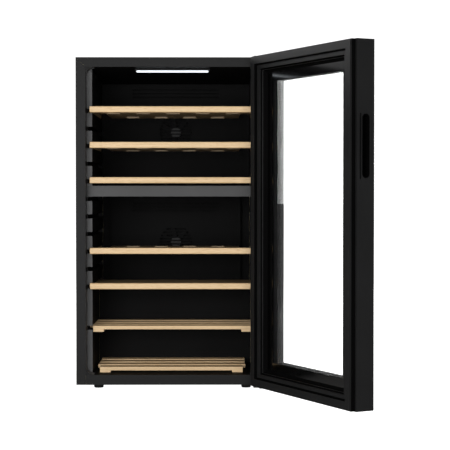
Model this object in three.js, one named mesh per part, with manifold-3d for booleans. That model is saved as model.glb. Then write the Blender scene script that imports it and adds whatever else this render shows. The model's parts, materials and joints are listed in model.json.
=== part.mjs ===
// Free-standing two-zone wine cooler with its glass door standing open.
// Millimetres, +Z up, the cabinet's front plane looks along -Y.
// The cabinet is drawn with X = 0 on its centre line, Y = 0 on its front plane and Z = 0 at its
// underside. The last lines move everything so that the origin is under the middle of the whole part.

import * as THREE from "three";
import { mergeVertices } from "three/addons/utils/BufferGeometryUtils.js";
import Module from "manifold-3d";

const wasm = await Module();
wasm.setup();

// ---------- driving dimensions ----------
const CABINET_WIDTH = 486;
const CABINET_HEIGHT = 829.4;
const CABINET_DEPTH = 405;
const FOOT_HEIGHT = 10.6;
const SHEET = 1.2; // painted steel skin
const GAP = 0.3; // air between pieces that touch
const FRAME_FACE = 24.3; // visible width of the front frame
const MOUTH_DEPTH = 46; // from the front plane to the faces of the shelf ribs
const MOUTH_RADIUS = 20;
const RIB_X = 205.4; // half width between the ribs
const GROOVE_X = 217.5; // half width between the groove bottoms
const GROOVE_HEIGHT = 10.5;
const LINER = 2; // thickness of the plastic liner
const LINER_BACK = 378; // front face of the liner's back wall
const CEILING_SLOPE = 15 / 312;
const STEP_Y = 260; // front face of the step over the compressor
const STEP_Z = 238; // top face of that step
const BAY_Y = 290; // compressor bay, front wall
const BAY_Z = 208; // compressor bay, ceiling
const GROOVES = [696.4, 651, 606, 561.2, 516.4, 471.6, 426.9, 381.7, 336.5, 292.2, 246.7, 141];
const DIVIDER = [477.7, 505];
const BOTTLE_PITCH = 77.2;
const BOARD = 9; // thickness of shelf boards and slats
const BOARD_HALF = 216; // half width of the boards that ride in the grooves
const FASCIA_HALF = 209;
const FASCIA_DEPTH = [16, 38];
const FASCIA_HEIGHT = 15.2;
const FASCIA_RISE = 2.8; // fascia centre above board centre
const DOOR_THICK = 61;
const DOOR_INSET = 2; // door edge inside the cabinet's top and underside
const DOOR_GAP = 1; // closed door's gasket to the front plane
const DOOR_OPEN_DEG = 116.7;
const PIVOT = [225.85, -29.35];

const HALF = CABINET_WIDTH / 2;
const MOUTH_X = HALF - FRAME_FACE;
const MOUTH_LOW = 25.1;
const MOUTH_TOP = CABINET_HEIGHT - FRAME_FACE;
const DOOR_LOW = DOOR_INSET;
const DOOR_TOP = CABINET_HEIGHT - DOOR_INSET;

const model = new THREE.Group();
model.name = "wine_cooler";

// ---------- materials ----------
function finish(color, roughness, metalness) {
  return new THREE.MeshStandardMaterial({ color, roughness, metalness });
}
const skinPaint = () => finish(0x2e2e2f, 0.5, 0.3);
const linerPlastic = () => finish(0x1b1b1c, 0.55, 0);
const blackPlastic = () => finish(0x141415, 0.5, 0);
const greyTrim = () => finish(0x505052, 0.5, 0);
const beech = () => finish(0xd9b88a, 0.6, 0);
const rubber = () => finish(0x0c0c0d, 0.85, 0);
const steel = () => finish(0x8f9296, 0.4, 0.9);
const foam = () => finish(0xd8cfa8, 0.95, 0);
const blackShell = () => finish(0x0f0f10, 0.45, 0.4);

// ---------- solid helpers ----------
function solid(geometry) {
  const bare = geometry.clone();
  bare.deleteAttribute("normal");
  bare.deleteAttribute("uv");
  const joined = mergeVertices(bare, 1e-4);
  const mesh = new wasm.Mesh({
    numProp: 3,
    vertProperties: new Float32Array(joined.attributes.position.array),
    triVerts: new Uint32Array(joined.index.array),
  });
  return new wasm.Manifold(mesh);
}

function block(x0, x1, y0, y1, z0, z1) {
  const geometry = new THREE.BoxGeometry(x1 - x0, y1 - y0, z1 - z0);
  geometry.translate((x0 + x1) / 2, (y0 + y1) / 2, (z0 + z1) / 2);
  return solid(geometry);
}

// A block given for the +X side and mirrored to -X when side is -1.
function sideBlock(side, x0, x1, y0, y1, z0, z1) {
  const a = side * x0;
  const b = side * x1;
  return block(Math.min(a, b), Math.max(a, b), y0, y1, z0, z1);
}

function outline(points) {
  const shape = new THREE.Shape();
  points.forEach(([a, b], i) => (i === 0 ? shape.moveTo(a, b) : shape.lineTo(a, b)));
  shape.closePath();
  return shape;
}

function roundedOutline(a0, a1, b0, b1, radius) {
  const shape = new THREE.Shape();
  shape.moveTo(a0 + radius, b0);
  shape.lineTo(a1 - radius, b0);
  shape.absarc(a1 - radius, b0 + radius, radius, -Math.PI / 2, 0, false);
  shape.lineTo(a1, b1 - radius);
  shape.absarc(a1 - radius, b1 - radius, radius, 0, Math.PI / 2, false);
  shape.lineTo(a0 + radius, b1);
  shape.absarc(a0 + radius, b1 - radius, radius, Math.PI / 2, Math.PI, false);
  shape.lineTo(a0, b0 + radius);
  shape.absarc(a0 + radius, b0 + radius, radius, Math.PI, Math.PI * 1.5, false);
  return shape;
}

function extruded(shape, length, curveSegments = 8) {
  return new THREE.ExtrudeGeometry(shape, { depth: length, bevelEnabled: false, curveSegments });
}

// Outline in (y, z), drawn out along X.
function alongX(shape, x0, x1, curveSegments) {
  const geometry = extruded(shape, x1 - x0, curveSegments);
  const turn = new THREE.Matrix4().makeBasis(
    new THREE.Vector3(0, 1, 0),
    new THREE.Vector3(0, 0, 1),
    new THREE.Vector3(1, 0, 0),
  );
  geometry.applyMatrix4(turn);
  geometry.translate(x0, 0, 0);
  return solid(geometry);
}

// Outline in (x, z), drawn out along Y.
function alongY(shape, y0, y1, curveSegments) {
  const geometry = extruded(shape, y1 - y0, curveSegments);
  const turn = new THREE.Matrix4().makeBasis(
    new THREE.Vector3(1, 0, 0),
    new THREE.Vector3(0, 0, 1),
    new THREE.Vector3(0, -1, 0),
  );
  geometry.applyMatrix4(turn);
  geometry.translate(0, y1, 0);
  return solid(geometry);
}

// Outline in (x, y), drawn out along Z.
function alongZ(shape, z0, z1, curveSegments) {
  const geometry = extruded(shape, z1 - z0, curveSegments);
  geometry.translate(0, 0, z0);
  return solid(geometry);
}

function uprightRod(x, y, z0, z1, radiusLow, radiusTop = radiusLow, sides = 32) {
  const geometry = new THREE.CylinderGeometry(radiusTop, radiusLow, z1 - z0, sides);
  geometry.rotateX(Math.PI / 2);
  geometry.translate(x, y, (z0 + z1) / 2);
  return solid(geometry);
}

function rodAlongY(x, z, y0, y1, radius, sides = 32) {
  const geometry = new THREE.CylinderGeometry(radius, radius, y1 - y0, sides);
  geometry.translate(x, (y0 + y1) / 2, z);
  return solid(geometry);
}

function place(name, body, material, matrix = null) {
  const raw = body.getMesh();
  const geometry = new THREE.BufferGeometry();
  const points = new Float32Array(raw.vertProperties);
  geometry.setAttribute("position", new THREE.BufferAttribute(points, 3));
  geometry.setIndex(new THREE.BufferAttribute(new Uint32Array(raw.triVerts), 1));
  if (matrix) {
    geometry.applyMatrix4(matrix);
  }
  geometry.computeVertexNormals();
  const mesh = new THREE.Mesh(geometry, material);
  mesh.name = name;
  model.add(mesh);
}

function ceilingAt(y) {
  return MOUTH_TOP - Math.max(0, y - MOUTH_DEPTH) * CEILING_SLOPE;
}

// ---------- cabinet skin ----------
// The side skins fold round to the front frame and are mitred against the top skin.
function sideSkin(side) {
  const sheet = sideBlock(side, HALF - SHEET, HALF, 0, CABINET_DEPTH, 0, CABINET_HEIGHT);
  const mitred = outline([
    [side * MOUTH_X, 0],
    [side * HALF, 0],
    [side * HALF, CABINET_HEIGHT],
    [side * MOUTH_X, MOUTH_TOP],
  ]);
  return sheet.add(alongY(mitred, 0, SHEET));
}
place("side_panel_left", sideSkin(-1), skinPaint());
place("side_panel_right", sideSkin(1), skinPaint());

const skinInner = HALF - SHEET - GAP;
const mitreGap = GAP * 1.5;
const topFlange = outline([
  [-MOUTH_X + GAP, MOUTH_TOP],
  [MOUTH_X - GAP, MOUTH_TOP],
  [HALF - GAP - mitreGap, CABINET_HEIGHT - GAP],
  [HALF - GAP - mitreGap - SHEET, CABINET_HEIGHT],
  [-HALF + GAP + mitreGap + SHEET, CABINET_HEIGHT],
  [-HALF + GAP + mitreGap, CABINET_HEIGHT - GAP],
]);
const clippedFlange = alongY(topFlange, 0, SHEET).intersect(
  block(-skinInner, skinInner, -1, 2, 0, CABINET_HEIGHT + 1),
);
const BRACKET_X = [205, 241];
const BRACKET_BACK = 31;
const bracketNotch = block(
  BRACKET_X[0] - GAP, BRACKET_X[1] + GAP, -1, BRACKET_BACK + GAP, DOOR_TOP, CABINET_HEIGHT + 1,
);
const topSheet = block(
  -skinInner, skinInner, 0, CABINET_DEPTH - SHEET - GAP, CABINET_HEIGHT - SHEET, CABINET_HEIGHT,
);
place("top_panel", topSheet.add(clippedFlange).subtract(bracketNotch), skinPaint());

const footX = 188.5;
const footFrontY = 35;
const footRearY = 368;
const rail = block(-MOUTH_X + GAP, MOUTH_X - GAP, 0, SHEET, 0, MOUTH_LOW);
let basePan = block(-skinInner, skinInner, SHEET + GAP, CABINET_DEPTH - SHEET - GAP, 0, 1.5);
basePan = basePan.add(block(-MOUTH_X + GAP, MOUTH_X - GAP, 0.5, 3, 0, 1.5)).add(rail);
for (const side of [-1, 1]) {
  basePan = basePan.subtract(uprightRod(side * footX, footFrontY, -1, 3, 4.4));
}
place("base_pan", basePan, skinPaint());

const skinBack = CABINET_DEPTH - SHEET;
place(
  "back_panel",
  block(-skinInner, skinInner, skinBack, CABINET_DEPTH, BAY_Z + 1.5, CABINET_HEIGHT),
  skinPaint(),
);

// Slotted cover over the compressor bay, with a hole for the mains inlet.
let rearGrille = block(-238, 238, skinBack, CABINET_DEPTH, 12, BAY_Z - 1);
for (let row = 0; row < 11; row += 1) {
  for (const middle of [-110, 0, 110]) {
    const z = 36 + row * 14;
    const slot = roundedOutline(middle - 44, middle + 44, z, z + 5, 2.4);
    rearGrille = rearGrille.subtract(alongY(slot, skinBack - 1, CABINET_DEPTH + 1, 2));
  }
}
const INLET_X = [182, 224];
const INLET_Z = [40, 70];
rearGrille = rearGrille.subtract(block(
  INLET_X[0] - GAP, INLET_X[1] + GAP, skinBack - 1, CABINET_DEPTH + 1, INLET_Z[0] - GAP, INLET_Z[1] + GAP,
));
place("rear_grille", rearGrille, skinPaint());

// ---------- liner ----------
// The cavity between the side walls with its shelf grooves, made larger by grow on each side.
function cavity(grow, y0, y1, z0, z1) {
  let body = block(-RIB_X - grow, RIB_X + grow, y0, y1, z0, z1);
  for (const centre of GROOVES) {
    const reach = GROOVE_HEIGHT / 2 + grow;
    const width = GROOVE_X + grow;
    body = body.add(block(-width, width, y0, y1, centre - reach, centre + reach));
  }
  return body;
}

const linerLow = MOUTH_LOW - 1.5;
const linerTop = MOUTH_TOP + 1.5;
const mouthHole = roundedOutline(-MOUTH_X, MOUTH_X, MOUTH_LOW, MOUTH_TOP, MOUTH_RADIUS);
const mouthOuterX = MOUTH_X + 1.5;
const faceBack = MOUTH_DEPTH + LINER;
const mouthRing = block(-mouthOuterX, mouthOuterX, SHEET + GAP, faceBack, linerLow, linerTop)
  .subtract(alongY(mouthHole, 0, faceBack + 1));
const ribFace = alongY(mouthHole, MOUTH_DEPTH, faceBack)
  .subtract(cavity(0, MOUTH_DEPTH - 1, faceBack + 1, 0, CABINET_HEIGHT));
// Everything behind the step's front face and below its top.
const behindStep = (y) => block(-HALF, HALF, y, CABINET_DEPTH, 0, STEP_Z - LINER - GAP);
const hollow = cavity(0, 0, LINER_BACK, 0, CABINET_HEIGHT).subtract(behindStep(STEP_Y + GAP));
const groovedShell = cavity(LINER, faceBack - 0.5, LINER_BACK + LINER, linerLow, linerTop)
  .subtract(hollow)
  .subtract(behindStep(STEP_Y + LINER + GAP));
const WALL_X = RIB_X + 0.2; // the rib faces are trimmed straight here
function linerWall(side) {
  const mouthPart = mouthRing.intersect(
    sideBlock(side, MOUTH_X - MOUTH_RADIUS, HALF, 0, faceBack, 0, CABINET_HEIGHT),
  );
  const flank = sideBlock(side, WALL_X, HALF, 0, CABINET_DEPTH, 0, CABINET_HEIGHT);
  return mouthPart.add(ribFace.intersect(flank)).add(groovedShell.intersect(flank));
}
place("liner_wall_left", linerWall(-1), linerPlastic());
place("liner_wall_right", linerWall(1), linerPlastic());

const innerX = RIB_X - GAP;
const mouthFlat = MOUTH_X - MOUTH_RADIUS - GAP;
const ceilingEnd = LINER_BACK + LINER;
const ceilingProfile = outline([
  [faceBack + GAP, ceilingAt(faceBack + GAP)],
  [ceilingEnd, ceilingAt(ceilingEnd)],
  [ceilingEnd, ceilingAt(ceilingEnd) + LINER],
  [faceBack + GAP, ceilingAt(faceBack + GAP) + LINER],
]);
const ceilingMouth = block(-mouthFlat, mouthFlat, SHEET + GAP, faceBack + 3, MOUTH_TOP, linerTop);
const underCeiling = alongX(
  outline([[0, 700], [400, 700], [400, ceilingAt(400)], [MOUTH_DEPTH, MOUTH_TOP], [0, MOUTH_TOP]]),
  -HALF, HALF,
);
place(
  "liner_ceiling",
  alongX(ceilingProfile, -innerX, innerX).add(ceilingMouth).subtract(underCeiling),
  linerPlastic(),
);
place(
  "liner_floor",
  block(-mouthFlat, mouthFlat, SHEET + GAP, faceBack + 3, linerLow, MOUTH_LOW).add(
    block(-innerX, innerX, faceBack + GAP, STEP_Y + LINER, MOUTH_LOW - LINER, MOUTH_LOW),
  ),
  linerPlastic(),
);
const stepProfile = outline([
  [STEP_Y, MOUTH_LOW + GAP],
  [STEP_Y + LINER, MOUTH_LOW + GAP],
  [STEP_Y + LINER, STEP_Z - LINER],
  [LINER_BACK - GAP, STEP_Z - LINER],
  [LINER_BACK - GAP, STEP_Z],
  [STEP_Y, STEP_Z],
]);
place("liner_step", alongX(stepProfile, -innerX, innerX), linerPlastic());
place(
  "liner_back",
  block(-innerX, innerX, LINER_BACK, LINER_BACK + LINER, STEP_Z - LINER, ceilingAt(ceilingEnd) - GAP),
  linerPlastic(),
);

// Insulation foam fills the space between skin and liner, except the compressor bay.
const foamLow = 1.5 + GAP;
const foamTop = DOOR_TOP - 0.2;
const foamX = skinInner;
let insulation = block(-foamX, foamX, SHEET + GAP, CABINET_DEPTH - SHEET - GAP, foamLow, foamTop);
insulation = insulation
  .subtract(block(
    -mouthOuterX - GAP, mouthOuterX + GAP, 0, faceBack + GAP, linerLow - 0.8, linerTop + 0.8,
  ))
  .subtract(cavity(LINER + GAP, faceBack - 1, STEP_Y + LINER + 2 * GAP, linerLow - 0.8, linerTop + 0.8))
  .subtract(cavity(
    LINER + GAP, STEP_Y, LINER_BACK + LINER + GAP, STEP_Z - LINER - GAP, linerTop + 0.8,
  ))
  .subtract(block(-HALF, HALF, BAY_Y - 1.5, CABINET_DEPTH, 0, BAY_Z + 1.5));
for (const side of [-1, 1]) {
  insulation = insulation.subtract(uprightRod(side * footX, footFrontY, 0, 16, 5));
}
place("insulation", insulation, foam());

// ---------- divider and light ----------
place(
  "zone_divider",
  block(-innerX, innerX, MOUTH_DEPTH + GAP, 355.7, DIVIDER[0], DIVIDER[1]),
  blackPlastic(),
);
const trimShape = roundedOutline(-217.5, 217.5, DIVIDER[0], DIVIDER[1], 2);
place("divider_trim", alongY(trimShape, 43.4, MOUTH_DEPTH - GAP, 3), greyTrim());

place("light_housing", block(-96, 96, 48.5, 64, 800.4, ceilingAt(64) - GAP), blackPlastic());
place(
  "light_diffuser",
  alongX(roundedOutline(49, 60, 795.9, 800.1, 1.6), -91.5, 91.5, 4),
  finish(0xf7fbff, 0.4, 0),
);

// ---------- air ducts, fans and evaporators ----------
const DUCT_Y = 356;
function ductCover(halfWidth, z0, z1, fanZ, outletZ) {
  let cover = block(-halfWidth, halfWidth, DUCT_Y, DUCT_Y + LINER, z0, z1);
  for (const side of [-1, 1]) {
    cover = cover.add(
      sideBlock(side, halfWidth - LINER, halfWidth, DUCT_Y, LINER_BACK - GAP, z0, z1),
    );
  }
  for (let row = -4; row <= 4; row += 1) {
    const reach = Math.sqrt(45 * 45 - (row * 9) ** 2);
    const slot = roundedOutline(-reach, reach, fanZ + row * 9 - 2.5, fanZ + row * 9 + 2.5, 2.4);
    cover = cover.subtract(alongY(slot, DUCT_Y - 1, DUCT_Y + LINER + 1, 2));
  }
  for (let row = 0; row < 3; row += 1) {
    const z = outletZ + row * 10;
    const slot = roundedOutline(-120, 120, z - 2.5, z + 2.5, 2.4);
    cover = cover.subtract(alongY(slot, DUCT_Y - 1, DUCT_Y + LINER + 1, 2));
  }
  return cover;
}
const FAN_UPPER_Z = 655;
const FAN_LOWER_Z = 350;
const upperCoverTop = ceilingAt(LINER_BACK) - GAP;
const upperCover = ductCover(204.8, DIVIDER[1] + GAP, upperCoverTop, FAN_UPPER_Z, 752);
const lowerCover = ductCover(180, STEP_Z + GAP, DIVIDER[0] - GAP, FAN_LOWER_Z, 438);
place("duct_cover_upper", upperCover, linerPlastic());
place("duct_cover_lower", lowerCover, linerPlastic());

function fanRotor(z) {
  let rotor = rodAlongY(0, z, 361, 372.5, 14, 24);
  for (let i = 0; i < 7; i += 1) {
    const blade = new THREE.BoxGeometry(30, 14, 1.4);
    blade.rotateX(THREE.MathUtils.degToRad(52));
    blade.translate(27, 0, 0);
    blade.rotateY((i * Math.PI * 2) / 7);
    blade.translate(0, 366.8, z);
    rotor = rotor.add(solid(blade));
  }
  return rotor;
}
function evaporator(z0, z1) {
  let plate = block(-165, 165, 371, 372.5, z0, z1);
  const rows = 5;
  const step = (z1 - z0 - 14) / (rows - 1);
  for (let i = 0; i < rows; i += 1) {
    const z = z0 + 7 + i * step;
    plate = plate.add(block(-152, 152, 367, 371.5, z - 3, z + 3));
    if (i < rows - 1) {
      const end = i % 2 === 0 ? 149 : -149;
      plate = plate.add(block(end - 3, end + 3, 367, 371.5, z - 1, z + step + 1));
    }
  }
  return plate;
}
place("fan_rotor_upper", fanRotor(FAN_UPPER_Z), blackPlastic());
place("evaporator_upper", evaporator(515, 600), finish(0xc9ccd0, 0.35, 0.9));
place("fan_rotor_lower", fanRotor(FAN_LOWER_Z), blackPlastic());
place("evaporator_lower", evaporator(245, 298), finish(0xc9ccd0, 0.35, 0.9));

// ---------- compressor bay ----------
const bayProfile = outline([
  [BAY_Y - SHEET, foamLow],
  [BAY_Y, foamLow],
  [BAY_Y, BAY_Z],
  [CABINET_DEPTH - SHEET - GAP, BAY_Z],
  [CABINET_DEPTH - SHEET - GAP, BAY_Z + SHEET],
  [BAY_Y - SHEET, BAY_Z + SHEET],
]);
place("bay_wall", alongX(bayProfile, -foamX, foamX), steel());

const COMP_X = -110;
const COMP_Y = 346;
let mountingPlate = block(COMP_X - 90, COMP_X + 90, COMP_Y - 50, COMP_Y + 50, foamLow, 4);
for (const dx of [-72, 72]) {
  for (const dy of [-38, 38]) {
    mountingPlate = mountingPlate.add(uprightRod(COMP_X + dx, COMP_Y + dy, 3.5, 16, 9, 7, 20));
  }
}
place("compressor_mount", mountingPlate, steel());

const shellProfile = [
  [0, 22], [30, 23], [43, 29], [48, 40], [48.5, 92], [50.5, 92.5], [50.5, 98.5], [48.5, 99],
  [48, 145], [42, 157], [29, 164], [0, 166],
].map(([r, z]) => new THREE.Vector2(r, z));
const shellGeometry = new THREE.LatheGeometry(shellProfile, 40);
shellGeometry.rotateX(Math.PI / 2);
shellGeometry.scale(1.42, 1, 1);
shellGeometry.translate(COMP_X, COMP_Y, 0);
const footBar = block(COMP_X - 84, COMP_X + 84, COMP_Y - 48, COMP_Y + 48, 16.3, 18.5);
const cradle = uprightRod(COMP_X, COMP_Y, 18, 30, 28, 28, 24);
place("compressor", solid(shellGeometry).add(footBar).add(cradle), blackShell());

const inlet = block(...INLET_X, 372, CABINET_DEPTH, ...INLET_Z).subtract(
  block(188, 218, 385, CABINET_DEPTH + 1, 45, 65),
);
place("mains_inlet", inlet, blackPlastic());

// ---------- feet ----------
const PAD_RADIUS = 13.5;
function foot(x, y, stud) {
  const pad = uprightRod(x, y, -FOOT_HEIGHT, -GAP, PAD_RADIUS - 2, PAD_RADIUS, 32);
  return stud ? pad.add(uprightRod(x, y, -1, 13, 4, 4, 24)) : pad;
}
place("foot_front_left", foot(-footX, footFrontY, true), rubber());
place("foot_front_right", foot(footX, footFrontY, true), rubber());
place("foot_rear_left", foot(-footX, footRearY, false), rubber());
place("foot_rear_right", foot(footX, footRearY, false), rubber());

// ---------- hinge brackets ----------
const [pivotX, pivotY] = PIVOT;
const PIN_RADIUS = 4;
const bracketPlan = (back) => roundedOutline(...BRACKET_X, pivotY - 13, back, 5);
const topBracketLow = DOOR_TOP + GAP;
place(
  "hinge_top",
  alongZ(bracketPlan(BRACKET_BACK), topBracketLow, topBracketLow + 1.4, 4)
    .add(uprightRod(pivotX, pivotY, DOOR_TOP - 9.5, topBracketLow + 0.5, PIN_RADIUS)),
  steel(),
);
place(
  "hinge_bottom",
  alongZ(bracketPlan(40), -2, -GAP, 4)
    .add(uprightRod(pivotX, pivotY, -1, DOOR_LOW - GAP, 7.5))
    .add(uprightRod(pivotX, pivotY, -1, DOOR_LOW + 9.5, PIN_RADIUS))
    .add(uprightRod(pivotX, pivotY, -5, -1, 6.5, 7.5)),
  steel(),
);

// ---------- bottle shelves ----------
// Board with bottle cut-outs, rails that ride in the wall grooves, and a front fascia.
// The lowest shelf is short, because the step over the compressor stands behind it.
const FRONT_BOARD_HALF = 204;
const FRONT_BOARD_END = 105;
const RAIL_START = 75;
const CUT_HALF = 19;
const CUT_RADIUS = 4;
const LONG_DECK = { boardHalf: 174, boardEnd: 315, railIn: 206.2, railEnd: 345 };
const SHORT_DECK = { boardHalf: 203, boardEnd: 258, railIn: 202, railEnd: 258 };
function cutOut(x, y0, y1, z) {
  const shape = roundedOutline(x - CUT_HALF, x + CUT_HALF, y0, y1, CUT_RADIUS);
  return alongZ(shape, z - BOARD, z + BOARD, 3);
}
function deck(z, short) {
  const { boardHalf, boardEnd, railIn, railEnd } = short ? SHORT_DECK : LONG_DECK;
  const low = z - BOARD / 2;
  const top = z + BOARD / 2;
  const back = FRONT_BOARD_END - 1;
  const front = FASCIA_DEPTH[1] + GAP;
  let board = block(-FRONT_BOARD_HALF, FRONT_BOARD_HALF, front, FRONT_BOARD_END, low, top);
  board = board.add(block(-BOARD_HALF, BOARD_HALF, RAIL_START, FRONT_BOARD_END, low, top));
  board = board.add(block(-boardHalf, boardHalf, back, boardEnd, low, top));
  for (const side of [-1, 1]) {
    board = board.add(sideBlock(side, railIn, BOARD_HALF, back, railEnd, low, top));
  }
  for (let i = -2; i <= 2; i += 1) {
    board = board.subtract(cutOut(i * BOTTLE_PITCH, 55, 100, z));
  }
  if (!short) {
    for (const i of [-1.5, -0.5, 0.5, 1.5]) {
      board = board.subtract(cutOut(i * BOTTLE_PITCH, 230, 303, z));
    }
  }
  return board;
}
function fascia(z) {
  const middle = z + FASCIA_RISE;
  const [y0, y1] = FASCIA_DEPTH;
  const h = FASCIA_HEIGHT / 2;
  return alongX(roundedOutline(y0, y1, middle - h, middle + h, 2), -FASCIA_HALF, FASCIA_HALF, 4);
}
const SHELF_Z = [696.4, 606, 516.4, 336.5, 246.5];
SHELF_Z.forEach((z, i) => {
  place(`shelf_${i + 1}_deck`, deck(z, i === 4), beech());
  place(`shelf_${i + 1}_fascia`, fascia(z), beech());
});

// ---------- slatted shelves ----------
// Slats across, joined by two cleats underneath.
function slattedShelf(rows, top, cleatLow, cleats, y0, y1) {
  let shelf = null;
  for (const [a, b] of cleats) {
    const cleat = block(a, b, y0, y1, cleatLow, top - BOARD + 0.4);
    shelf = shelf ? shelf.add(cleat) : cleat;
  }
  for (const [start, end, x0, x1] of rows) {
    shelf = shelf.add(block(x0, x1, start, end, top - BOARD, top));
  }
  return shelf;
}
const upperSlats = [[50, 84, -204.3, FASCIA_HALF]];
for (let i = 1; i < 4; i += 1) {
  const y = 50 + i * 50.3;
  upperSlats.push([y, y + 34, -BOARD_HALF, BOARD_HALF]);
}
place(
  "slat_shelf_upper",
  slattedShelf(upperSlats, 145.5, 130, [[-204, -177], [177, 204]], 50, 235),
  beech(),
);
const lowerSlats = [[50, 86, -187, 180]];
for (let i = 1; i < 4; i += 1) {
  const y = 50 + i * 57;
  lowerSlats.push([y, y + 36, -196, 187.5]);
}
place(
  "slat_shelf_lower",
  slattedShelf(lowerSlats, 39.4, MOUTH_LOW + GAP, [[-187, -160], [153, 180]], 50, 256),
  beech(),
);

// ---------- door ----------
// Drawn in its own coordinates: s from the hinge edge, t from the gasket face outwards, z up.
const door = new THREE.Matrix4()
  .makeTranslation(pivotX, pivotY, 0)
  .multiply(new THREE.Matrix4().makeRotationZ(THREE.MathUtils.degToRad(DOOR_OPEN_DEG + 180)))
  .multiply(new THREE.Matrix4().makeTranslation(-(HALF - pivotX), DOOR_GAP + pivotY, 0));
const PIVOT_S = HALF - pivotX;
const PIVOT_T = -DOOR_GAP - pivotY;
const END_SHIFT = 9.8; // the ends' rings lie this much nearer to the edge than the sides'
const GASKET_S = 30; // inside the gasket they also lie closer together
const END_SQUEEZE = 0.88;
function endInset(a) {
  const inside = Math.max(a - GASKET_S, 0) * END_SQUEEZE;
  return Math.max(Math.min(a, GASKET_S) - END_SHIFT + inside, 0.2);
}

// Rectangle of the door inset by a at the sides.
function ring(a, t0, t1) {
  const end = endInset(a);
  return block(a, CABINET_WIDTH - a, t0, t1, DOOR_LOW + end, DOOR_TOP - end);
}
const GLASS = 4;
const SLAB_T = [11.1, DOOR_THICK - GLASS - GAP];
const LIP_S = 55.7;
const SEAT_S = 49.7;
const PANE_T = 25.5;
let slab = block(0, CABINET_WIDTH, SLAB_T[0], SLAB_T[1], DOOR_LOW, DOOR_TOP);
slab = slab.subtract(ring(SEAT_S, PANE_T - GAP, SLAB_T[1] + 1)).subtract(ring(LIP_S, 0, PANE_T));
// Bevel of the lip round the inner pane.
const BEVEL_S = 44.2;
function frustum() {
  const near = SLAB_T[0] - 0.001;
  const far = PANE_T - GAP;
  const [a, b] = [BEVEL_S, LIP_S].map((inset) => [
    inset, CABINET_WIDTH - inset, DOOR_LOW + endInset(inset), DOOR_TOP - endInset(inset),
  ]);
  const corners = [
    [a[0], near, a[2]], [a[1], near, a[2]], [a[1], near, a[3]], [a[0], near, a[3]],
    [b[0], far, b[2]], [b[1], far, b[2]], [b[1], far, b[3]], [b[0], far, b[3]],
  ];
  const faces = [
    0, 1, 2, 0, 2, 3, 4, 6, 5, 4, 7, 6, 0, 5, 1, 0, 4, 5,
    1, 6, 2, 1, 5, 6, 2, 7, 3, 2, 6, 7, 3, 4, 0, 3, 7, 4,
  ];
  const geometry = new THREE.BufferGeometry();
  geometry.setAttribute("position", new THREE.BufferAttribute(new Float32Array(corners.flat()), 3));
  geometry.setIndex(faces);
  return solid(geometry);
}
slab = slab.subtract(frustum());

// Handle recess and the thin groove beside it, in the free edge.
const HANDLE_Z = [DOOR_TOP - 306.4, DOOR_TOP - 167];
const HANDLE_T = [26.8, 42.8];
const HANDLE_DEEP = 24;
function edgeSlot(grow, depth) {
  const [t0, t1] = HANDLE_T;
  const half = (t1 - t0) / 2 + grow;
  const [z0, z1] = HANDLE_Z;
  const shape = roundedOutline(t0 - grow, t1 + grow, z0 - grow, z1 + grow, half - 0.01);
  return alongX(shape, CABINET_WIDTH - depth, CABINET_WIDTH + 1, 8);
}
const grooveShape = roundedOutline(18.6, 22.8, DOOR_TOP - 310.7, DOOR_TOP - 163.8, 2);
const GROOVE_DEEP = 7;
slab = slab
  .subtract(edgeSlot(1.8, HANDLE_DEEP + 1.8))
  .subtract(alongX(grooveShape, CABINET_WIDTH - GROOVE_DEEP, CABINET_WIDTH + 1, 5));
const BORE = 11;
slab = slab
  .subtract(uprightRod(PIVOT_S, PIVOT_T, DOOR_LOW - 1, DOOR_LOW + BORE, 5.8))
  .subtract(uprightRod(PIVOT_S, PIVOT_T, DOOR_TOP - BORE, DOOR_TOP + 1, 5.8));

// The slab is four members mitred at the corners.
const reach = 90;
function member(points) {
  return slab.intersect(alongY(outline(points), 0, DOOR_THICK + 1));
}
const cut = GAP / 2;
const W = CABINET_WIDTH;
place(
  "door_stile_hinge",
  member([
    [-1, DOOR_LOW - 1 + cut * 1.5],
    [reach, DOOR_LOW + reach + cut * 1.5],
    [reach, DOOR_TOP - reach - cut * 1.5],
    [-1, DOOR_TOP + 1 - cut * 1.5],
  ]),
  blackPlastic(),
  door,
);
place(
  "door_stile_handle",
  member([
    [W + 1, DOOR_LOW - 1 + cut * 1.5],
    [W - reach, DOOR_LOW + reach + cut * 1.5],
    [W - reach, DOOR_TOP - reach - cut * 1.5],
    [W + 1, DOOR_TOP + 1 - cut * 1.5],
  ]),
  blackPlastic(),
  door,
);
place(
  "door_rail_top",
  member([
    [-1 + cut * 1.5, DOOR_TOP + 1],
    [reach + cut * 1.5, DOOR_TOP - reach],
    [W - reach - cut * 1.5, DOOR_TOP - reach],
    [W + 1 - cut * 1.5, DOOR_TOP + 1],
  ]),
  blackPlastic(),
  door,
);
place(
  "door_rail_bottom",
  member([
    [-1 + cut * 1.5, DOOR_LOW - 1],
    [reach + cut * 1.5, DOOR_LOW + reach],
    [W - reach - cut * 1.5, DOOR_LOW + reach],
    [W + 1 - cut * 1.5, DOOR_LOW - 1],
  ]),
  blackPlastic(),
  door,
);
place(
  "handle_cup",
  edgeSlot(1.5, HANDLE_DEEP + 1.5)
    .subtract(edgeSlot(0, HANDLE_DEEP))
    .subtract(block(W, W + 5, 0, DOOR_THICK, DOOR_LOW, DOOR_TOP)),
  blackPlastic(),
  door,
);

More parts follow.
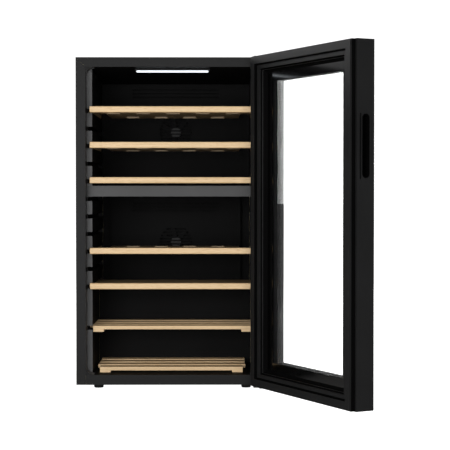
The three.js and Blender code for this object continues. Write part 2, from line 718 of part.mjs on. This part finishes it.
// Glazing: full-face outer pane, two smaller panes and the spacers between them.
const MIDDLE_T = 41.2;
const paneInset = SEAT_S + GAP;
const SPACER_S = 79.7;
const glass = () => finish(0x2a2e30, 0.05, 0);
place("glass_outer", block(0, W, DOOR_THICK - GLASS, DOOR_THICK, DOOR_LOW, DOOR_TOP), glass(), door);
place("glass_middle", ring(paneInset, MIDDLE_T, MIDDLE_T + GLASS), glass(), door);
place("glass_inner", ring(paneInset, PANE_T, PANE_T + GLASS), glass(), door);
function spacer(t0, t1) {
  return ring(paneInset + 1, t0, t1).subtract(ring(SPACER_S, t0 - 1, t1 + 1));
}
place("glass_spacer_inner", spacer(PANE_T + GLASS + GAP, MIDDLE_T - GAP), finish(0x101011, 0.35, 0), door);
place(
  "glass_spacer_outer",
  spacer(MIDDLE_T + GLASS + GAP, DOOR_THICK - GLASS - GAP),
  finish(0x101011, 0.35, 0),
  door,
);

// Trim ring and magnetic gasket on the inner side.
place(
  "door_inner_trim",
  ring(34.2, 6, SLAB_T[0] - GAP).subtract(ring(43.9, 5, SLAB_T[0])),
  greyTrim(),
  door,
);
const gasketBase = ring(8.8, 2.6, SLAB_T[0] - GAP);
const gasketLip = ring(11.4, 0, 3);
place("door_gasket", gasketBase.add(gasketLip).subtract(ring(GASKET_S, -1, SLAB_T[0] + 1)), rubber(), door);

function bush(z0, z1) {
  return uprightRod(PIVOT_S, PIVOT_T, z0, z1, 5.5).subtract(
    uprightRod(PIVOT_S, PIVOT_T, z0 - 1, z1 + 1, PIN_RADIUS + 0.06),
  );
}
place("hinge_bush_top", bush(DOOR_TOP - BORE + GAP, DOOR_TOP - 0.2), finish(0xb9b9b6, 0.5, 0), door);
place("hinge_bush_bottom", bush(DOOR_LOW + 0.2, DOOR_LOW + BORE - GAP), finish(0xb9b9b6, 0.5, 0), door);

// ---------- origin under the middle of the whole part ----------
const bounds = new THREE.Box3().setFromObject(model);
for (const mesh of model.children) {
  mesh.geometry.translate(
    -(bounds.min.x + bounds.max.x) / 2,
    -(bounds.min.y + bounds.max.y) / 2,
    -bounds.min.z,
  );
}

export default model;
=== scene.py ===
import json
import math

import bmesh
import bpy
from mathutils import Matrix, Vector


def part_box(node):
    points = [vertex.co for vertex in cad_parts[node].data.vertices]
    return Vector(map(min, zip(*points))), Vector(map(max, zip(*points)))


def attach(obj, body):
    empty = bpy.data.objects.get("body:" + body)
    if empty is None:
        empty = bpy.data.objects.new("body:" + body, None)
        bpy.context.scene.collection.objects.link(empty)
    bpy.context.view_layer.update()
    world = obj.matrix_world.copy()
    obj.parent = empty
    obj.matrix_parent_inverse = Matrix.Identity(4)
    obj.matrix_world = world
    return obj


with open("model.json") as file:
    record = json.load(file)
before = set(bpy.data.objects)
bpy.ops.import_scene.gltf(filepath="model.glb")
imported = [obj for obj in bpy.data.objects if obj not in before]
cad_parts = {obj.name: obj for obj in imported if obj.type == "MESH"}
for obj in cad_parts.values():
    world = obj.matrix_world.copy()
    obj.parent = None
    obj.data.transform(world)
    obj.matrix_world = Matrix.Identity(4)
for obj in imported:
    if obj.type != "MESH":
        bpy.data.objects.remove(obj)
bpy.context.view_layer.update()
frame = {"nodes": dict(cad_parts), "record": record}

# ---------- sizes and places, in metres ----------
MM = 0.001
SHELVES = range(1, 6)
left_low, left_high = (Vector(corner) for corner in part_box("side_panel_left"))
right_high = Vector(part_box("side_panel_right")[1])
CABINET_WIDTH = right_high.x - left_low.x
CABINET_HEIGHT = left_high.z - left_low.z
# Middle of the cabinet's front edge, at its underside.
FRONT = Vector(((left_low.x + right_high.x) / 2, left_low.y, left_low.z))

# Liner walls.
LIP_BACK = 2.2 * MM  # the black lip round the mouth ends this far behind the front plane
# Behind the rib faces the liner walls are darkened with painted shade.
RIB_BACK = 47.5 * MM  # and the grey rib faces end here
GROOVE_HALF = 5.3 * MM  # half the height of a groove
SLAT_GROOVE_DROP = 4.5 * MM  # from the top of the upper slatted shelf to its groove's middle
# Painted shade on the walls behind the ribs: this much of the ribs' grey is left there.
WALL_SHADE_TONE = 0.02  # how much of the ribs' grey is left on the walls behind them

# The door turns about PIVOT. Its rings are placed by their inset from its edges, and by t, the distance from
# its inner face towards its outer face.
joints = frame["record"]["behaviour"]["joints"]
hinge = next(joint for joint in joints if joint["name"] == "door_hinge")
PIVOT = Vector(hinge["pos_m"])
DOOR_OPEN = math.radians(-hinge["range_deg"][0])
DOOR_GAP = 1 * MM  # between the cabinet and the closed door
DOOR_INSET = 2 * MM  # the door is this much shorter than the cabinet at each end
END_SHIFT = 9.8 * MM  # rings lie this much nearer to the door's ends than to its sides
GASKET_INSIDE = 30 * MM  # and inside the gasket they also lie closer together there
END_SQUEEZE = 0.88
LEAST_END = 0.2 * MM  # no ring comes nearer to the ends than this

# Printed borders of the panes.
BORDER_START = 50.5 * MM
BORDER_END = 79.7 * MM
OUTER_BORDER_START = 1.5 * MM
INNER_PRINT_T = 25.38 * MM
INNER_PRINT_THICK = 0.08 * MM
OUTER_PANE_T = 57 * MM  # back face of the outer pane
OUTER_PRINT_THICK = 0.14 * MM
OUTER_PRINT_GAP = 0.06 * MM

# Black sheet on the door's inner side that paints the shade on the gasket's side faces and in the recess:
# flat, with two thin lips round the gasket, then a slope down to the inner pane.
SHEET_T = 10.9 * MM
SHEET_THICK = 0.15 * MM
SHEET_START = 6.0 * MM
LIP_THICK = 0.12 * MM
OUTER_LIP = 8.6 * MM
OUTER_LIP_T = 3.0 * MM
INNER_LIP = 30.08 * MM
INNER_LIP_T = 0.5 * MM
SLOPE_START = 44.4 * MM
SLOPE_END = 55.9 * MM
SLOPE_END_T = 24.9 * MM
SLOPE_EDGE = 0.3 * MM  # thickness of the slope's rim, at the pane
RIM_BACK = 0.05 * MM

BEAD_INSET = 48 * MM
BEAD_T = 15 * MM
BEAD_RADIUS = 0.8 * MM
BEAD_STEPS = 6

# Edge roundings by material slot, and the least angle of an edge that gets one.
BEVELS = {
    "cabinet_paint": 0.35 * MM,
    "black_plastic": 0.5 * MM,
    "grey_trim": 0.4 * MM,
    "beech": 0.45 * MM,
    "rubber": 0.5 * MM,
    "steel": 0.3 * MM,
    "liner_plastic": 0.35 * MM,
    "compressor_paint": 0.5 * MM,
}
BEVEL_ANGLE = math.radians(35)

# Camera.
CAMERA_PLACE = Vector((108.3, -3509.9, 485.8)) * MM  # from FRONT
CAMERA_YAW = math.radians(0.423)
CAMERA_PITCH = math.radians(1.308)
CAMERA_LENS = 110.95  # millimetres
CAMERA_RANGE = 60

# Studio. Each light has its place from the middle of the cabinet's front, its size and its power in watts.
LIGHTS = {
    "key": ((-0.9, -3.9, 0.0), (1.8, 1.6), 122),
    "fill": ((0.9, -3.4, 0.5), (1.6, 1.8), 30),
    "back_left": ((-2.2, 3.2, 0.9), (1.8, 1.8), 90),
    "back_right": ((2.2, 3.2, 0.9), (1.8, 1.8), 90),
    "top": ((0.0, 0.2, 2.6), (2.4, 2.4), 25),
}
FLOOR_SIZE = 12
FLOOR_DROP = 0.4 * MM
FLOOR_GREY = 0.55
FLOOR_GLOW = 1.15  # strength of the floor where it is looked at directly
SEEN_WHITE = 1.2  # and of the background
# The world's strength along Y: dim in front of the cooler, bright behind it.
WORLD_FADE = {"From Min": 0.2, "From Max": 0.97, "To Min": 0.16, "To Max": 1.0}

# Looks. A set of stops gives positions and colours along a colour ramp.
TONE_SPREAD = 0.12  # how far the cloudy tone goes to either side of a surface's colour
ROUGH_SPREAD = 0.07
GRAIN_DEPTH = 0.4 * MM
LINE_SHADE = 0.82  # the darker lines of brushed metal, next to its colour
LIGHT_STRENGTH = 1.1  # of the light bar's cover
BEECH_STOPS = (
    (0.28, (0.62, 0.43, 0.22)),
    (0.47, (0.70, 0.495, 0.268)),
    (0.62, (0.74, 0.53, 0.295)),
    (0.80, (0.66, 0.46, 0.24)),
)
FLECK_STOPS = ((0.56, (1.0, 1.0, 1.0)), (0.72, (0.80, 0.72, 0.63)))
TINT_STOPS = ((0.35, (0.95, 0.94, 0.92)), (0.65, (1.0, 1.0, 1.0)))


def node_middle(name):
    low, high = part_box(name)
    return (low[2] + high[2]) / 2


def groove_heights():
    """Wall grooves: one every half shelf spacing down to shelf 5, and one at the upper slatted shelf."""
    shelves = [node_middle(f"shelf_{number}_deck") for number in SHELVES]
    pitch = (shelves[0] - shelves[2]) / 4
    heights = [shelves[0] - step * pitch for step in range(7)]
    pitch = (shelves[3] - shelves[4]) / 2
    heights += [shelves[3] + pitch, shelves[3], shelves[3] - pitch, shelves[4]]
    heights.append(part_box("slat_shelf_upper")[1][2] - SLAT_GROOVE_DROP)
    return heights


# ---------- material helpers ----------
def math_node(tree, operation, *values):
    """One Math node. Each value is a number or the output of another node."""
    node = tree.nodes.new("ShaderNodeMath")
    node.operation = operation
    for socket, value in zip(node.inputs, values):
        if isinstance(value, float):
            socket.default_value = value
        else:
            tree.links.new(value, socket)
    return node.outputs[0]


def seen_directly(tree):
    """1 where a surface is looked at by the camera, also through glass."""
    path = tree.nodes.new("ShaderNodeLightPath")
    return math_node(tree, "MAXIMUM", path.outputs["Is Camera Ray"], path.outputs["Is Transmission Ray"])


class Nodes:
    """Short names for building one material's nodes."""

    def __init__(self, name):
        self.material = bpy.data.materials.new(name)
        self.material.use_nodes = True
        self.tree = self.material.node_tree
        self.shader = self.tree.nodes["Principled BSDF"]
        coords = self.tree.nodes.new("ShaderNodeTexCoord")
        self.place = coords.outputs["Object"]

    def link(self, source, target):
        self.tree.links.new(source, target)

    def give(self, source, input_name):
        self.link(source, self.shader.inputs[input_name])

    def stretched(self, scale):
        mapping = self.tree.nodes.new("ShaderNodeMapping")
        mapping.inputs["Scale"].default_value = scale
        self.link(self.place, mapping.inputs["Vector"])
        return mapping.outputs["Vector"]

    def noise(self, vector, scale, detail, distortion=0.0):
        node = self.tree.nodes.new("ShaderNodeTexNoise")
        node.inputs["Scale"].default_value = scale
        node.inputs["Detail"].default_value = detail
        node.inputs["Distortion"].default_value = distortion
        self.link(vector, node.inputs["Vector"])
        return node.outputs["Fac"]

    def ramp(self, source, stops):
        node = self.tree.nodes.new("ShaderNodeValToRGB")
        elements = node.color_ramp.elements
        while len(elements) < len(stops):
            elements.new(0.5)
        for element, (position, color) in zip(elements, stops):
            element.position = position
            element.color = (*color, 1)
        self.link(source, node.inputs["Fac"])
        return node.outputs["Color"]

    def span(self, source, low, high):
        node = self.tree.nodes.new("ShaderNodeMapRange")
        node.inputs["To Min"].default_value = low
        node.inputs["To Max"].default_value = high
        self.link(source, node.inputs["Value"])
        return node.outputs["Result"]

    def multiplied(self, first, second):
        """Product of two colours."""
        node = self.tree.nodes.new("ShaderNodeMix")
        node.data_type = "RGBA"
        node.blend_type = "MULTIPLY"
        node.inputs["Factor"].default_value = 1.0
        first_input, second_input = (socket for socket in node.inputs if socket.type == "RGBA")
        self.link(first, first_input)
        self.link(second, second_input)
        return next(socket for socket in node.outputs if socket.type == "RGBA")

    def scaled(self, vector, amount):
        node = self.tree.nodes.new("ShaderNodeVectorMath")
        node.operation = "SCALE"
        self.link(vector, node.inputs[0])
        self.link(amount, node.inputs["Scale"])
        return node.outputs["Vector"]

    def bump(self, height, strength, distance):
        node = self.tree.nodes.new("ShaderNodeBump")
        node.inputs["Strength"].default_value = strength
        node.inputs["Distance"].default_value = distance
        self.link(height, node.inputs["Height"])
        self.give(node.outputs["Normal"], "Normal")


def grey(value):
    return (value, value, value * 1.02)


def textured_nodes(name, color, rough, grain=900.0, bump=0.06, specular=0.5):
    """Nodes of a painted or moulded surface, and its tone: soft clouds, fine grain in roughness and bump."""
    nodes = Nodes(name)
    nodes.shader.inputs["Specular IOR Level"].default_value = specular
    cloud = nodes.noise(nodes.place, scale=9.0, detail=4.0)
    darker = tuple(c * (1 - TONE_SPREAD) for c in color)
    lighter = tuple(c * (1 + TONE_SPREAD) for c in color)
    tone = nodes.ramp(cloud, [(0.3, darker), (0.7, lighter)])
    nodes.give(tone, "Base Color")
    fine = nodes.noise(nodes.place, scale=grain, detail=2.0)
    nodes.give(nodes.span(fine, rough - ROUGH_SPREAD, rough + ROUGH_SPREAD), "Roughness")
    nodes.bump(fine, bump, GRAIN_DEPTH)
    return nodes, tone


def textured(*look, **details):
    return textured_nodes(*look, **details)[0].material


def wood(name, shade):
    """Pale beech: long grain along X, darker annual lines and short pore flecks. A shade below 1 darkens the
    whole colour with painted shade.
    """
    nodes = Nodes(name)
    bands = nodes.noise(nodes.stretched((1.6, 60.0, 110.0)), scale=2.4, detail=5.0, distortion=0.6)
    base = nodes.ramp(bands, [(stop, tuple(c * shade for c in tone)) for stop, tone in BEECH_STOPS])
    pores = nodes.noise(nodes.stretched((60.0, 900.0, 900.0)), scale=1.0, detail=2.0)
    flecks = nodes.ramp(pores, FLECK_STOPS)
    broad = nodes.noise(nodes.place, scale=3.0, detail=1.0)
    tint = nodes.ramp(broad, TINT_STOPS)
    nodes.give(nodes.multiplied(nodes.multiplied(base, flecks), tint), "Base Color")
    nodes.give(nodes.span(pores, 0.42, 0.62), "Roughness")
    nodes.bump(pores, strength=0.12, distance=0.3 * MM)
    return nodes.material


def brushed(name, color, rough, direction):
    """Metal with fine lines along one direction."""
    nodes = Nodes(name)
    nodes.shader.inputs["Metallic"].default_value = 1.0
    lines = nodes.noise(nodes.stretched(direction), scale=1.0, detail=3.0)
    darker = tuple(c * LINE_SHADE for c in color)
    nodes.give(nodes.ramp(lines, [(0.35, darker), (0.65, color)]), "Base Color")
    nodes.give(nodes.span(lines, rough - 0.08, rough + 0.1), "Roughness")
    nodes.bump(lines, strength=0.08, distance=0.2 * MM)
    return nodes.material


def liner_wall():
    """Grey rib faces at the mouth. The front lip is black; the grooves and the walls behind the ribs are
    darkened to near black with painted shade.
    """
    nodes, tone = textured_nodes("liner_wall", grey(0.098), 0.6, grain=1100.0, bump=0.10, specular=0.2)
    split = nodes.tree.nodes.new("ShaderNodeSeparateXYZ")
    nodes.link(nodes.place, split.inputs["Vector"])
    behind_lip = math_node(nodes.tree, "GREATER_THAN", split.outputs["Y"], FRONT.y + LIP_BACK)
    on_ribs = math_node(nodes.tree, "LESS_THAN", split.outputs["Y"], FRONT.y + RIB_BACK)
    is_grey = math_node(nodes.tree, "MULTIPLY", behind_lip, on_ribs)
    # Painted shade in each groove.
    for centre in groove_heights():
        offset = math_node(nodes.tree, "SUBTRACT", split.outputs["Z"], centre)
        distance = math_node(nodes.tree, "ABSOLUTE", offset)
        outside = math_node(nodes.tree, "GREATER_THAN", distance, GROOVE_HALF)
        is_grey = math_node(nodes.tree, "MULTIPLY", is_grey, outside)
    # Where the ribs' grey is off, painted shade leaves only this little of it.
    amount = math_node(nodes.tree, "MAXIMUM", is_grey, WALL_SHADE_TONE)
    nodes.give(nodes.scaled(tone, amount), "Base Color")
    return nodes.material


def clear_glass():
    """Nearly invisible glass with faint smears."""
    nodes = Nodes("door_glass")
    nodes.shader.inputs["Base Color"].default_value = (0.93, 0.96, 0.95, 1)
    nodes.shader.inputs["Transmission Weight"].default_value = 1.0
    nodes.shader.inputs["IOR"].default_value = 1.45
    nodes.shader.inputs["Alpha"].default_value = 0.02
    smear = nodes.noise(nodes.place, scale=14.0, detail=5.0)
    nodes.give(nodes.span(smear, 0.0, 0.006), "Roughness")
    return nodes.material


def light_cover():
    """Glowing cover of the light bar, with fine ribs across it."""
    nodes = Nodes("light_cover")
    nodes.shader.inputs["Base Color"].default_value = (0.9, 0.95, 1, 1)
    nodes.shader.inputs["Emission Color"].default_value = (0.86, 0.93, 1.0, 1)
    nodes.shader.inputs["Emission Strength"].default_value = LIGHT_STRENGTH
    ribs = nodes.noise(nodes.stretched((420.0, 4.0, 4.0)), scale=1.0, detail=0.0)
    nodes.give(nodes.span(ribs, 0.3, 0.5), "Roughness")
    nodes.bump(ribs, strength=0.2, distance=0.4 * MM)
    return nodes.material


# By material slot.
MATERIALS = {
    "cabinet_paint": textured("cabinet_paint", grey(0.0076), 0.5, grain=1400.0, bump=0.08, specular=0.12),
    "liner_plastic": textured("liner_plastic", grey(0.105), 0.6, grain=1100.0, bump=0.10, specular=0.2),
    "black_plastic": textured("black_plastic", grey(0.0090), 0.5, grain=1100.0, bump=0.08, specular=0.16),
    "grey_trim": textured("grey_trim", grey(0.035), 0.5, grain=1000.0, specular=0.3),
    "foam": textured("foam", (0.65, 0.58, 0.36), 0.9, grain=500.0, bump=0.3),
    "rubber": textured("rubber", grey(0.012), 0.75, grain=700.0, bump=0.10, specular=0.2),
    "steel": brushed("steel", grey(0.55), 0.35, (40.0, 900.0, 900.0)),
    "evaporator_metal": brushed("evaporator_metal", grey(0.62), 0.35, (30.0, 700.0, 700.0)),
    "compressor_paint": textured("compressor_paint", grey(0.01), 0.35, grain=600.0, bump=0.05),
    "beech": wood("beech", 1.0),
    "tinted_glass": clear_glass(),
    "spacer_black": textured("spacer_black", grey(0.0088), 0.6, grain=300.0, bump=0.01, specular=0.05),
    "bush_plastic": textured("bush_plastic", grey(0.45), 0.5),
    "light_cover": light_cover(),
}
HINGE_STEEL = brushed("hinge_steel", grey(0.09), 0.4, (40.0, 900.0, 900.0))
# The shelf decks' beech at 0.45 of its colour: painted shade inside the cavity.
DECK_WOOD_SHADED = wood("beech_deck_shaded", 0.45)
# The liner's plastic inside the cavity, darkened far below its slot's grey with painted shade.
CAVITY_PAINTED_SHADE = textured("cavity_plastic", grey(0.0040), 0.65, grain=1100.0, bump=0.10, specular=0.05)
LINER_WALL = liner_wall()
# The handle's recess: the black plastic darkened further with painted shade.
HANDLE_CUP_SHADED = textured("handle_cup", grey(0.0012), 0.7, bump=0.05, specular=0.03)
GASKET_GREY = textured("gasket_vinyl", grey(0.0108), 0.6, specular=0.14)
PRINT_BLACK = textured("glass_print", grey(0.0010), 0.10, grain=200.0, bump=0.0)
BEAD_GREY = textured("glazing_bead", grey(0.006), 0.35, grain=600.0, bump=0.02, specular=0.3)
# Black sheet of painted shade over the gasket's side faces and the recess.
SHADE_SHEET_BLACK = textured("door_inner_skin", grey(0.0012), 0.85, bump=0.05, specular=0.04)

# Pieces that look unlike the rest of their slot: painted shade on the cavity's liner, the liner walls, the
# handle cup, the shelf decks and the door's black sheet; own colours on the hinges and the gasket.
OWN_MATERIALS = {
    "duct_cover_upper": CAVITY_PAINTED_SHADE,
    "duct_cover_lower": CAVITY_PAINTED_SHADE,
    "liner_back": CAVITY_PAINTED_SHADE,
    "liner_step": CAVITY_PAINTED_SHADE,
    "liner_floor": CAVITY_PAINTED_SHADE,
    "liner_ceiling": CAVITY_PAINTED_SHADE,
    "liner_wall_left": LINER_WALL,
    "liner_wall_right": LINER_WALL,
    "hinge_top": HINGE_STEEL,
    "hinge_bottom": HINGE_STEEL,
    "handle_cup": HANDLE_CUP_SHADED,
    "door_gasket": GASKET_GREY,
    "door_inner_trim": GASKET_GREY,
    **{f"shelf_{number}_deck": DECK_WOOD_SHADED for number in SHELVES},
}


# ---------- the frame's own pieces ----------
def dress(node_name, slot):
    piece = frame["nodes"][node_name]
    piece.data.materials.clear()
    piece.data.materials.append(OWN_MATERIALS.get(node_name, MATERIALS[slot]))
    if slot in BEVELS:
        bevel = piece.modifiers.new("edge", "BEVEL")
        bevel.width = BEVELS[slot]
        bevel.segments = 2
        bevel.limit_method = "ANGLE"
        bevel.angle_limit = BEVEL_ANGLE


for entry in frame["record"]["subparts"]:
    dress(entry["node"], entry["material_slot"])


# ---------- pieces made here, all on the door ----------
def end_inset(inset):
    """How far a ring of the door lies from its top and bottom edges."""
    inside = max(inset - GASKET_INSIDE, 0) * END_SQUEEZE
    return max(min(inset, GASKET_INSIDE) - END_SHIFT + inside, LEAST_END) + DOOR_INSET


def door_matrix():
    """From door coordinates (s from the hinge edge, t outwards, z up) to the row frame."""
    pivot = Matrix.Translation(PIVOT.xy.to_3d() + Vector((0, 0, FRONT.z)))
    turn = Matrix.Rotation(DOOR_OPEN + math.pi, 4, "Z")
    pivot_s = FRONT.x + CABINET_WIDTH / 2 - PIVOT.x
    pivot_t = FRONT.y - DOOR_GAP - PIVOT.y
    return pivot @ turn @ Matrix.Translation((-pivot_s, -pivot_t, 0))


def swept_ring(section):
    """Closed ring round the door from a cross-section of (inset, t) points."""
    mesh = bmesh.new()
    loops = []
    for inset, t in section:
        end = end_inset(inset)
        corners = [
            (inset, t, end),
            (CABINET_WIDTH - inset, t, end),
            (CABINET_WIDTH - inset, t, CABINET_HEIGHT - end),
            (inset, t, CABINET_HEIGHT - end),
        ]
        loops.append([mesh.verts.new(corner) for corner in corners])
    for here, there in zip(loops, loops[1:] + loops[:1]):
        for i in range(4):
            j = (i + 1) % 4
            mesh.faces.new((here[i], here[j], there[j], there[i]))
    return mesh


def flat_section(outer, inner, t, thick):
    return [(outer, t), (inner, t), (inner, t + thick), (outer, t + thick)]


def shade_sheet_section():
    """Painted shade sheet: along the seen face from the outer edge to the slope's rim, and back underneath.
    """
    section = [(SHEET_START, SHEET_T)]
    for lip, lip_t in ((OUTER_LIP, OUTER_LIP_T), (INNER_LIP, INNER_LIP_T)):
        section += [(lip, SHEET_T), (lip, lip_t), (lip + LIP_THICK, lip_t), (lip + LIP_THICK, SHEET_T)]
    section += [
        (SLOPE_START, SHEET_T),
        (SLOPE_END, SLOPE_END_T),
        (SLOPE_END, SLOPE_END_T + SLOPE_EDGE),
        (SLOPE_END - 2 * SLOPE_EDGE, SLOPE_END_T - RIM_BACK),
        (SLOPE_START - SLOPE_EDGE, SHEET_T + SHEET_THICK),
        (SHEET_START, SHEET_T + SHEET_THICK),
    ]
    return section


def bead_section():
    """Half-round that bulges towards the inner side."""
    section = []
    for step in range(BEAD_STEPS + 1):
        angle = math.pi * step / BEAD_STEPS
        inset = BEAD_INSET - BEAD_RADIUS * math.cos(angle)
        section.append((inset, BEAD_T - BEAD_RADIUS * math.sin(angle)))
    return section


def new_piece(name, mesh, material, body, matrix):
    mesh.transform(matrix)
    bmesh.ops.recalc_face_normals(mesh, faces=mesh.faces)
    data = bpy.data.meshes.new(name)
    mesh.to_mesh(data)
    mesh.free()
    piece = bpy.data.objects.new(name, data)
    bpy.context.scene.collection.objects.link(piece)
    data.materials.append(material)
    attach(piece, body)


inner_print = flat_section(BORDER_START, BORDER_END, INNER_PRINT_T, INNER_PRINT_THICK)
outer_print_t = OUTER_PANE_T - OUTER_PRINT_GAP - OUTER_PRINT_THICK
outer_print = flat_section(OUTER_BORDER_START, BORDER_END, outer_print_t, OUTER_PRINT_THICK)
for name, section, material, slot in (
    ("glass_print_inner", inner_print, PRINT_BLACK, "spacer_black"),
    ("glass_print_outer", outer_print, PRINT_BLACK, "spacer_black"),
    # Black sheet of painted shade on the door.
    ("door_inner_skin", shade_sheet_section(), SHADE_SHEET_BLACK, "rubber"),
    ("glazing_bead", bead_section(), BEAD_GREY, "rubber"),
):
    new_piece(name, swept_ring(section), material, "door", door_matrix())


# ---------- stage, camera and light ----------
def add_floor():
    """Pale floor that is plain white where the camera looks at it."""
    mesh = bmesh.new()
    bmesh.ops.create_grid(mesh, x_segments=2, y_segments=2, size=FLOOR_SIZE)
    data = bpy.data.meshes.new("floor")
    mesh.to_mesh(data)
    mesh.free()
    floor = bpy.data.objects.new("floor", data)
    floor.location.z = -FLOOR_DROP
    bpy.context.scene.collection.objects.link(floor)
    nodes = Nodes("floor")
    nodes.shader.inputs["Base Color"].default_value = (FLOOR_GREY, FLOOR_GREY, FLOOR_GREY, 1)
    nodes.shader.inputs["Roughness"].default_value = 0.8
    nodes.shader.inputs["Specular IOR Level"].default_value = 0.0
    nodes.shader.inputs["Emission Color"].default_value = (1, 1, 1, 1)
    glow = math_node(nodes.tree, "MULTIPLY", seen_directly(nodes.tree), FLOOR_GLOW)
    nodes.give(glow, "Emission Strength")
    data.materials.append(nodes.material)


def add_world():
    """White behind the cooler, dimmer in front of it, and plain white to the eye."""
    world = bpy.data.worlds.new("studio")
    bpy.context.scene.world = world
    world.use_nodes = True
    tree = world.node_tree
    coords = tree.nodes.new("ShaderNodeTexCoord")
    split = tree.nodes.new("ShaderNodeSeparateXYZ")
    tree.links.new(coords.outputs["Generated"], split.inputs["Vector"])
    fade = tree.nodes.new("ShaderNodeMapRange")
    for socket, value in WORLD_FADE.items():
        fade.inputs[socket].default_value = value
    tree.links.new(split.outputs["Y"], fade.inputs["Value"])
    seen = math_node(tree, "MULTIPLY", seen_directly(tree), SEEN_WHITE)
    back = tree.nodes["Background"]
    back.inputs["Color"].default_value = (1, 1, 1, 1)
    tree.links.new(math_node(tree, "MAXIMUM", seen, fade.outputs["Result"]), back.inputs["Strength"])


def add_camera():
    data = bpy.data.cameras.new("camera")
    data.lens = CAMERA_LENS
    data.clip_end = CAMERA_RANGE
    camera = bpy.data.objects.new("camera", data)
    camera.location = FRONT + CAMERA_PLACE
    camera.rotation_euler = (math.pi / 2 - CAMERA_PITCH, 0, -CAMERA_YAW)
    bpy.context.scene.collection.objects.link(camera)
    bpy.context.scene.camera = camera


def add_light(name, offset, size, power):
    """Area light that faces the middle of the cabinet's front."""
    light = bpy.data.lights.new(name, "AREA")
    light.shape = "RECTANGLE"
    light.size, light.size_y = size
    light.energy = power
    lamp = bpy.data.objects.new(name, light)
    offset = Vector(offset)
    lamp.location = FRONT + Vector((0, 0, CABINET_HEIGHT / 2)) + offset
    lamp.rotation_euler = (-offset).to_track_quat("-Z", "Y").to_euler()
    bpy.context.scene.collection.objects.link(lamp)


bpy.context.scene.view_settings.view_transform = "Standard"
add_floor()
add_world()
add_camera()
for name, (offset, size, power) in LIGHTS.items():
    add_light(name, offset, size, power)
